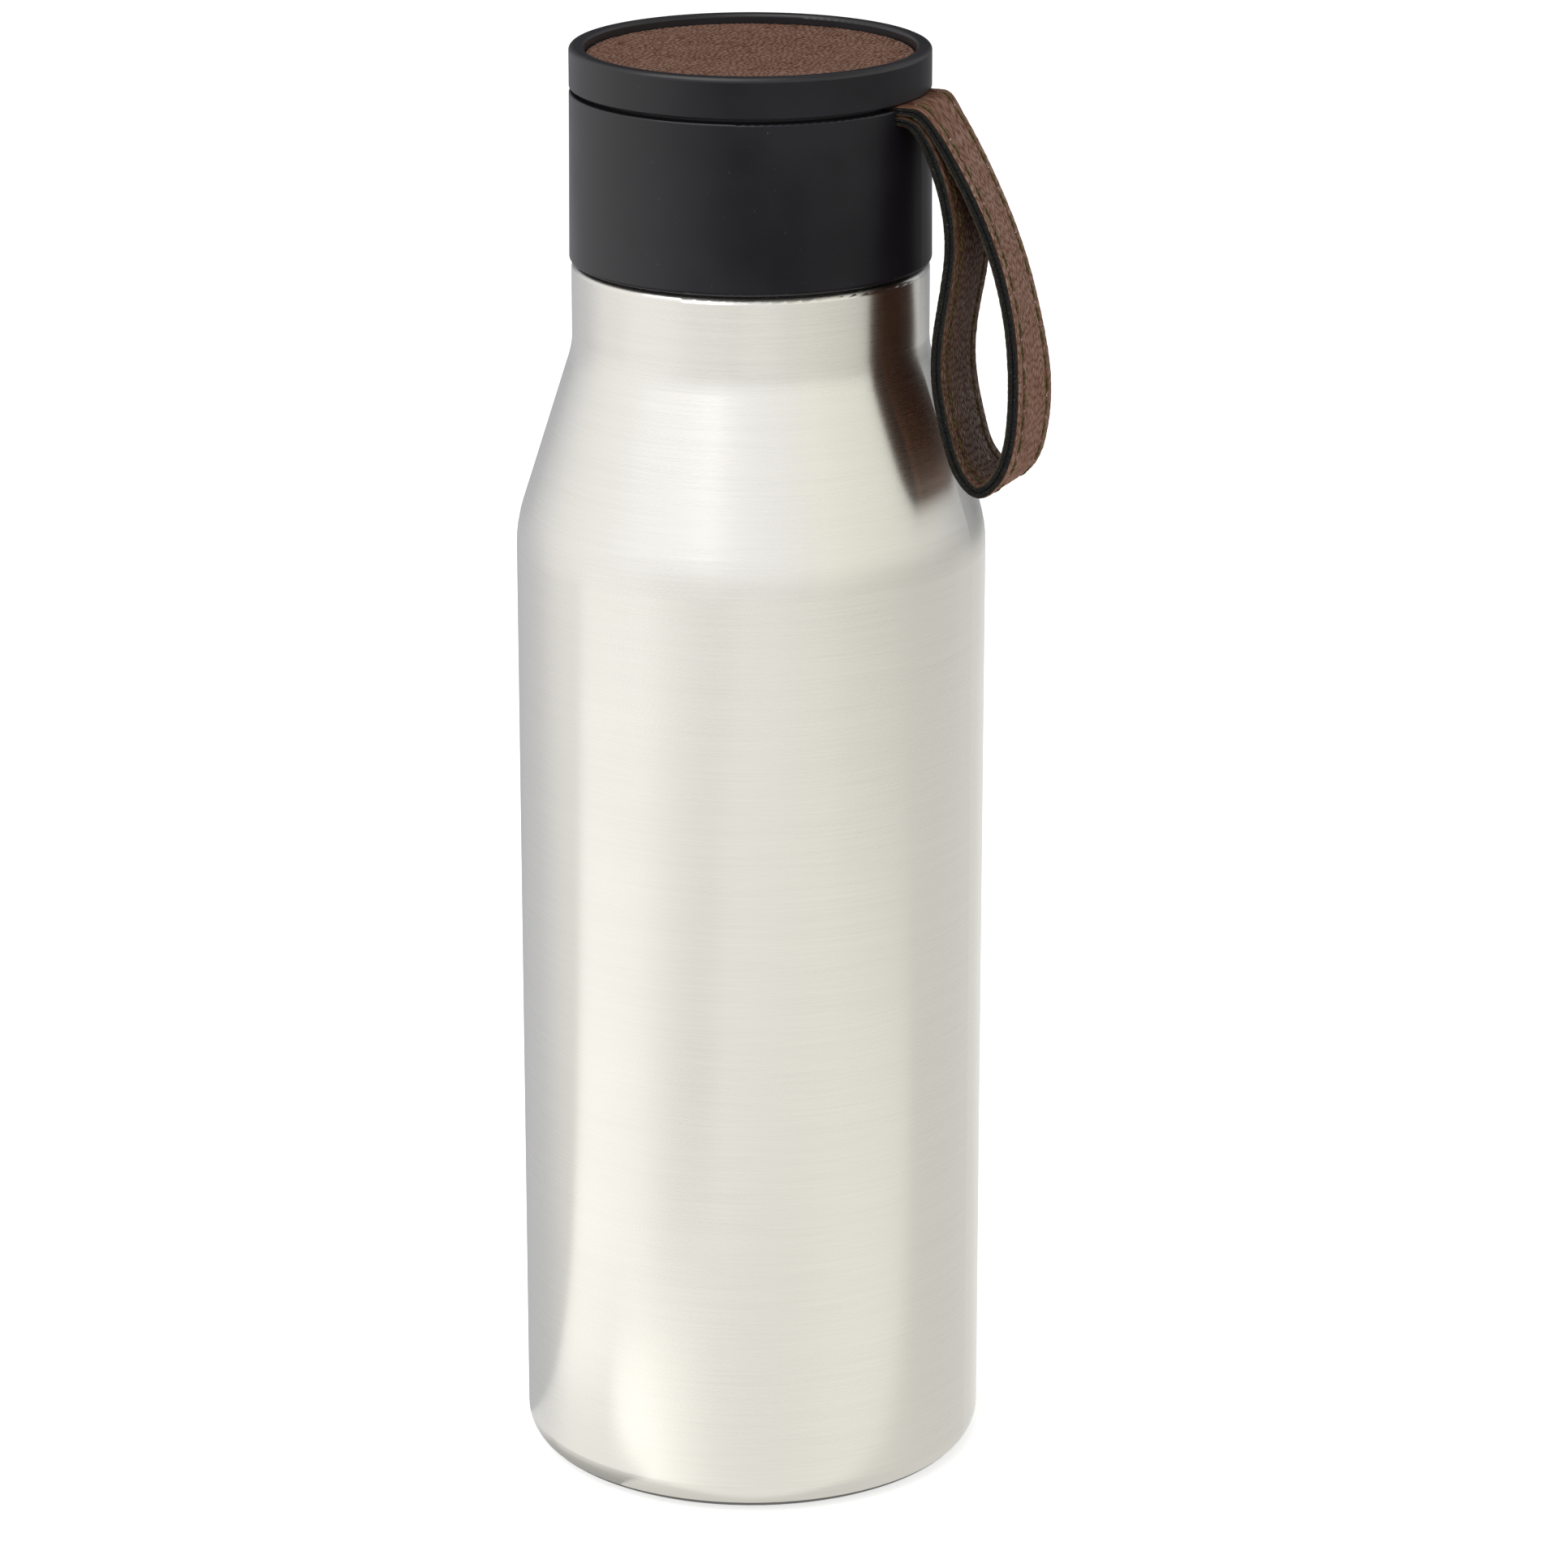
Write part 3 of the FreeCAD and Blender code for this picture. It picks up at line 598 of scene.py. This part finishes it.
def strap_thread(strap, side, name, material):
    """Every stitch of both rows on one face: a two-ply thread that dips into a needle hole at each end."""
    around, steps, twists = 8, 22, 3.4
    t = np.linspace(-1, 1, steps)
    angle = np.linspace(0, 2 * np.pi, around, endpoint=False)
    lay = np.abs(np.cos(angle[None, :] - np.pi * twists * t[:, None] / 2))
    radius = THREAD_R * (0.80 + 0.22 * lay)
    rng = np.random.default_rng(31 + side)
    points, faces, plies = [], [], []
    index = np.arange(steps * around).reshape(steps, around)
    beside = np.roll(index, -1, axis=1)
    quads = np.stack([index[:-1], beside[:-1], beside[1:], index[1:]], -1).reshape(-1, 4)
    for row in (-STITCH_ROW, STITCH_ROW):
        for middle in strap.stitch_places():
            slant, rise, drift = rng.normal(0.10, 0.03), rng.normal(0.0, 0.02), rng.normal(0, 0.03)
            along = middle + t * STITCH_PITCH * THREAD_SHARE
            across = row + drift + slant * t
            off = strap.half(along) - THREAD_SUNK + rise - THREAD_DIP * np.abs(t) ** 6
            lift = off[:, None] + radius * np.sin(angle)[None, :]
            sideways = across[:, None] + radius * np.cos(angle)[None, :]
            base = len(points) * steps * around
            points.append(strap.at(along[:, None], sideways, side * lift))
            plies.append(lay)
            faces += (quads + base).tolist()
            faces += [(index[0, ::-1] + base).tolist(), (index[-1] + base).tolist()]
    if side > 0:
        faces = [face[::-1] for face in faces]
    piece = new_piece(name, np.concatenate([p.reshape(-1, 3) for p in points]), faces, material)
    store(piece, "ply", np.concatenate([p.ravel() for p in plies]))
    return piece


def scatter_needle_glints(strap, side, name, material):
    """Painted highlights: pale specks that stand up at the needle holes, in place of the glints there."""
    rng = np.random.default_rng(43 + side)
    first = strap.stitch_places()[0] - STITCH_PITCH / 2
    count = len(strap.stitch_places()) + 1
    points, faces = [], []
    for row in (-STITCH_ROW, STITCH_ROW):
        for hole in first + STITCH_PITCH * np.arange(count):
            for _ in range(rng.integers(0, 5)):
                spread = rng.normal(0, 0.11, 3)
                along, across = hole + spread[0], row + 0.15 + spread[1]
                size, lean = rng.uniform(0.03, 0.07), rng.normal(0, 0.10, 2)
                foot = float(strap.half(along)) - 0.16
                corners = [(size * math.cos(a), size * math.sin(a), foot) for a in (0, 1.57, 3.14, 4.71)]
                tip = (*lean, foot + rng.uniform(0.12, 0.24))
                base = len(points)
                for u, v, off in corners + [tip]:
                    points.append(strap.at(along + u, across + v, side * off))
                faces += [[base + i, base + (i + 1) % 4, base + 4] for i in range(4)]
                faces.append([base + 3, base + 2, base + 1, base])
    return new_piece(name, np.array(points), faces, material, smooth=False)


def build_strap(skin_outer, skin_inner, backing, thread, fluff_and_glint_paint):
    """The strap's pieces, which stand for the CAD's strips, ends and stitching."""
    strap = Strap()
    outer_cut = cut_edge("cut_edge_outer", (0.006, 0.005, 0.004), (0.030, 0.023, 0.016))
    inner_cut = cut_edge("cut_edge_inner", (0.014, 0.012, 0.009), (0.060, 0.050, 0.036))
    outer = strap_skin(strap, 1, "strap_skin_outer", (skin_outer, outer_cut), (1.25, 0.50), 3)
    inner = strap_skin(strap, -1, "strap_skin_inner", (skin_inner, inner_cut), (1.25, 0.54), 8)
    core = strap_core(strap, backing)
    stitches = strap_thread(strap, 1, "strap_stitches_outer", thread)
    fibres = edge_fibres(strap, backing)
    stitches_inside = strap_thread(strap, -1, "strap_stitches_inner", thread)
    # painted glints: pale specks at the needle holes
    glint_specks = scatter_needle_glints(strap, 1, "needle_glint_paint_outer", fluff_and_glint_paint)
    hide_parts("strap_outer_strip", "strap_end_upper")
    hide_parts("strap_inner_strip", "strap_end_lower")
    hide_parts("strap_stitching")
    for slot, pieces in (
        ("leather_brown", (outer, inner, core, fibres, glint_specks)),
        ("thread", (stitches, stitches_inside)),
    ):
        for piece in pieces:
            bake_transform(piece)


# ---- CAD nodes that show ---------------------------------------------------------------------
def dress(node, material):
    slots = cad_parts[node].data.materials
    if not slots:
        slots.append(material)
    for i in range(len(slots)):
        slots[i] = material


# ---- light, floor and camera -----------------------------------------------------------------
def studio_dome():
    """Light from all round: brightest in front and on the left, dimmer overhead, darker lower down."""
    world = bpy.data.worlds.new("studio")
    bpy.context.scene.world = world
    world.use_nodes = True
    sky = Nodes(world.node_tree)
    way = sky.add("ShaderNodeTexCoord").outputs["Generated"]
    up = sky.add("ShaderNodeSeparateXYZ", {"Vector": way}).outputs["Z"]
    right, near = (
        sky.add("ShaderNodeVectorMath", {0: way, 1: axis}, operation="DOT_PRODUCT").outputs["Value"]
        for axis in (SCREEN_RIGHT, TO_CAMERA)
    )
    turn = sky.span(sky.math("ARCTAN2", right, near), 0.0, 1.0, -math.pi, math.pi)

    def ring(light):
        stops = [((degrees + 180) / 360, [level * t for t in tint]) for degrees, level, tint in light]
        return sky.ramp(turn, *stops, interpolation="B_SPLINE")

    def above(heights):
        return sky.span(up, 0.0, 1.0, *heights, interpolation_type="SMOOTHSTEP")

    around = ring(LIGHT_AROUND)
    around = sky.mix(above(HIGH), around, sky.mix(1.0, around, ZENITH, "MULTIPLY"))
    low = sky.mix(above(BAND_BOTTOM), GROUND, ring(LIGHT_LOW))
    horizon = sky.mix(above(BAND_TOP), low, ring(LIGHT_HORIZON))
    sky.feed(sky.tree.nodes["Background"].inputs["Color"], sky.mix(above(HORIZON_TOP), horizon, around))


def area_light(name, place, target, size, power, colour=(1, 1, 1)):
    lamp = bpy.data.lights.new(name, "AREA")
    lamp.shape = "RECTANGLE"
    lamp.size, lamp.size_y = size
    lamp.energy = power
    lamp.color = colour
    holder = bpy.data.objects.new(name, lamp)
    holder.location = place
    holder.rotation_euler = (Vector(target) - Vector(place)).to_track_quat("-Z", "Y").to_euler()
    bpy.context.scene.collection.objects.link(holder)
    return holder


def table_glow(nodes):
    """The bright table that only the steel mirrors: panels of light on the floor round the bottle."""
    receivers = bpy.data.collections.new("steel_parts")
    for node in nodes:
        receivers.objects.link(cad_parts[node])
    for number, (left, right, back, front, brightness) in enumerate(TABLE):
        width, depth = right - left, front - back
        middle = SCREEN_RIGHT * (left + right) / 2 + TO_CAMERA * (back + front) / 2 + Vector((0, 0, 0.0015))
        panel = area_light(f"table_glow_{number}", middle, middle + Vector((0, 0, 1)), (width, depth),
                           math.pi * width * depth * brightness, (1.0, 0.99, 0.92))
        panel.rotation_euler = (math.pi, 0, VIEW_TURN)
        panel.visible_camera = False
        panel.light_linking.receiver_collection = receivers


def studio_floor():
    half = 6.0
    mesh = bpy.data.meshes.new("studio_floor")
    corners = [(-half, -half, 0), (half, -half, 0), (half, half, 0), (-half, half, 0)]
    mesh.from_pydata(corners, [], [(0, 1, 2, 3)])
    shader = Shader("floor_paper", Roughness=0.95, Specular_IOR_Level=0.1)
    paper = shader.noise(300.0, 2.0)
    shader.set("Base Color", shader.ramp(paper, (0.2, (0.79, 0.79, 0.79)), (0.8, (0.81, 0.81, 0.81))))
    shader.set("Emission Color", (1, 1, 1, 1))
    shader.set("Emission Strength", FLOOR_GLOW)
    mesh.materials.append(shader.material)
    floor = bpy.data.objects.new("studio_floor", mesh)
    floor.visible_glossy = False
    bpy.context.scene.collection.objects.link(floor)


def studio_camera():
    lens = bpy.data.cameras.new("camera")
    lens.lens = LENS
    lens.sensor_width = 36.0
    lens.clip_start = 0.02
    camera = bpy.data.objects.new("camera", lens)
    place = TO_CAMERA * VIEW_DISTANCE + SCREEN_RIGHT * VIEW_SIDEWAYS + Vector((0, 0, VIEW_HEIGHT))
    look = -TO_CAMERA * math.cos(VIEW_TILT) - Vector((0, 0, math.sin(VIEW_TILT)))
    camera.location = place
    camera.rotation_euler = look.to_track_quat("-Z", "Y").to_euler()
    bpy.context.scene.collection.objects.link(camera)
    bpy.context.scene.camera = camera


# ---- everything ------------------------------------------------------------------------------
def main():
    bpy.context.scene.view_settings.view_transform = "Standard"
    steel = brushed_steel("steel_brushed", (0.88, 0.865, 0.825), 0.28, 0.85)
    inner_steel = brushed_steel("steel_flask", (0.74, 0.735, 0.72), 0.24, 0.5, 2600.0)
    small_steel = plain_with_noise("steel_small", (0.45, 0.45, 0.45), (0.6, 0.6, 0.6), 900.0, 0.35, 0.004,
                                   Metallic=1.0)
    black = moulded_plastic("plastic_black_satin", (0.0042, 0.0038, 0.0062), 0.36)
    insert = moulded_plastic("plastic_black_matte", (0.012, 0.012, 0.013), 0.55, 0.01)
    # crease and top colours of each leather: painted shade in its creases and painted highlight on its
    # pebble tops
    disc = leather("leather_disc", (0.040, 0.015, 0.009), (0.118, 0.054, 0.034), (0.250, 0.145, 0.104),
                   0.34, 0.9)
    outside = leather("leather_strap", (0.060, 0.022, 0.013), (0.165, 0.078, 0.050), (0.285, 0.162, 0.118),
                      0.36, 1.0)
    inside = leather("leather_strap_inside", (0.038, 0.016, 0.009), (0.102, 0.050, 0.030),
                     (0.185, 0.108, 0.078), 0.30, 1.0)
    # pale specks at the needle holes: painted glints
    glint_specks = plain_with_noise("needle_glint_paint", (0.45, 0.43, 0.38), (0.85, 0.84, 0.78), 4000.0, 0.9, 0.02)
    silicone = plain_with_noise("silicone_clear", (0.60, 0.61, 0.60), (0.70, 0.71, 0.70), 800.0, 0.45, 0.01,
                                Subsurface_Weight=0.4, Subsurface_Scale=0.002)
    foam = plain_with_noise("foam_white", (0.70, 0.69, 0.65), (0.85, 0.84, 0.80), 2600.0, 0.95, 0.12)
    glue = plain_with_noise("glue_film", (0.62, 0.58, 0.47), (0.74, 0.71, 0.62), 700.0, 0.5, 0.02)
    bead = plain_with_noise("glass_bead", (0.40, 0.46, 0.38), (0.55, 0.60, 0.50), 500.0, 0.12, 0.01,
                            Transmission_Weight=0.3)
    tablet = plain_with_noise("getter_metal", (0.10, 0.10, 0.105), (0.26, 0.26, 0.27), 3000.0, 0.8, 0.05)
    for nodes, material in (
        (("outer_shell", "base_cover"), steel),
        (("inner_liner", "vacuum_floor"), inner_steel),
        (("getter_clip", "strap_clamp_plate", "strap_screws"), small_steel),
        (("lid_sleeve", "lid_crown"), black),
        (("lid_insert",), insert),
        (("lid_foam",), foam),
        (("seal_ring",), silicone),
        (("inlay_adhesive",), glue),
        (("seal_bead",), bead),
        (("getter_tablet",), tablet),
    ):
        for node in nodes:
            dress(node, material)
    inlay_piece(disc)
    build_strap(outside, inside, felt(), thread_material(), glint_specks)
    studio_dome()
    studio_floor()
    area_light("top_softbox", (-0.15, -0.25, 0.85), (0, 0, 0.1), (0.7, 0.7), 3.5)
    table_glow(("outer_shell", "base_cover", "inner_liner"))
    studio_camera()


main()
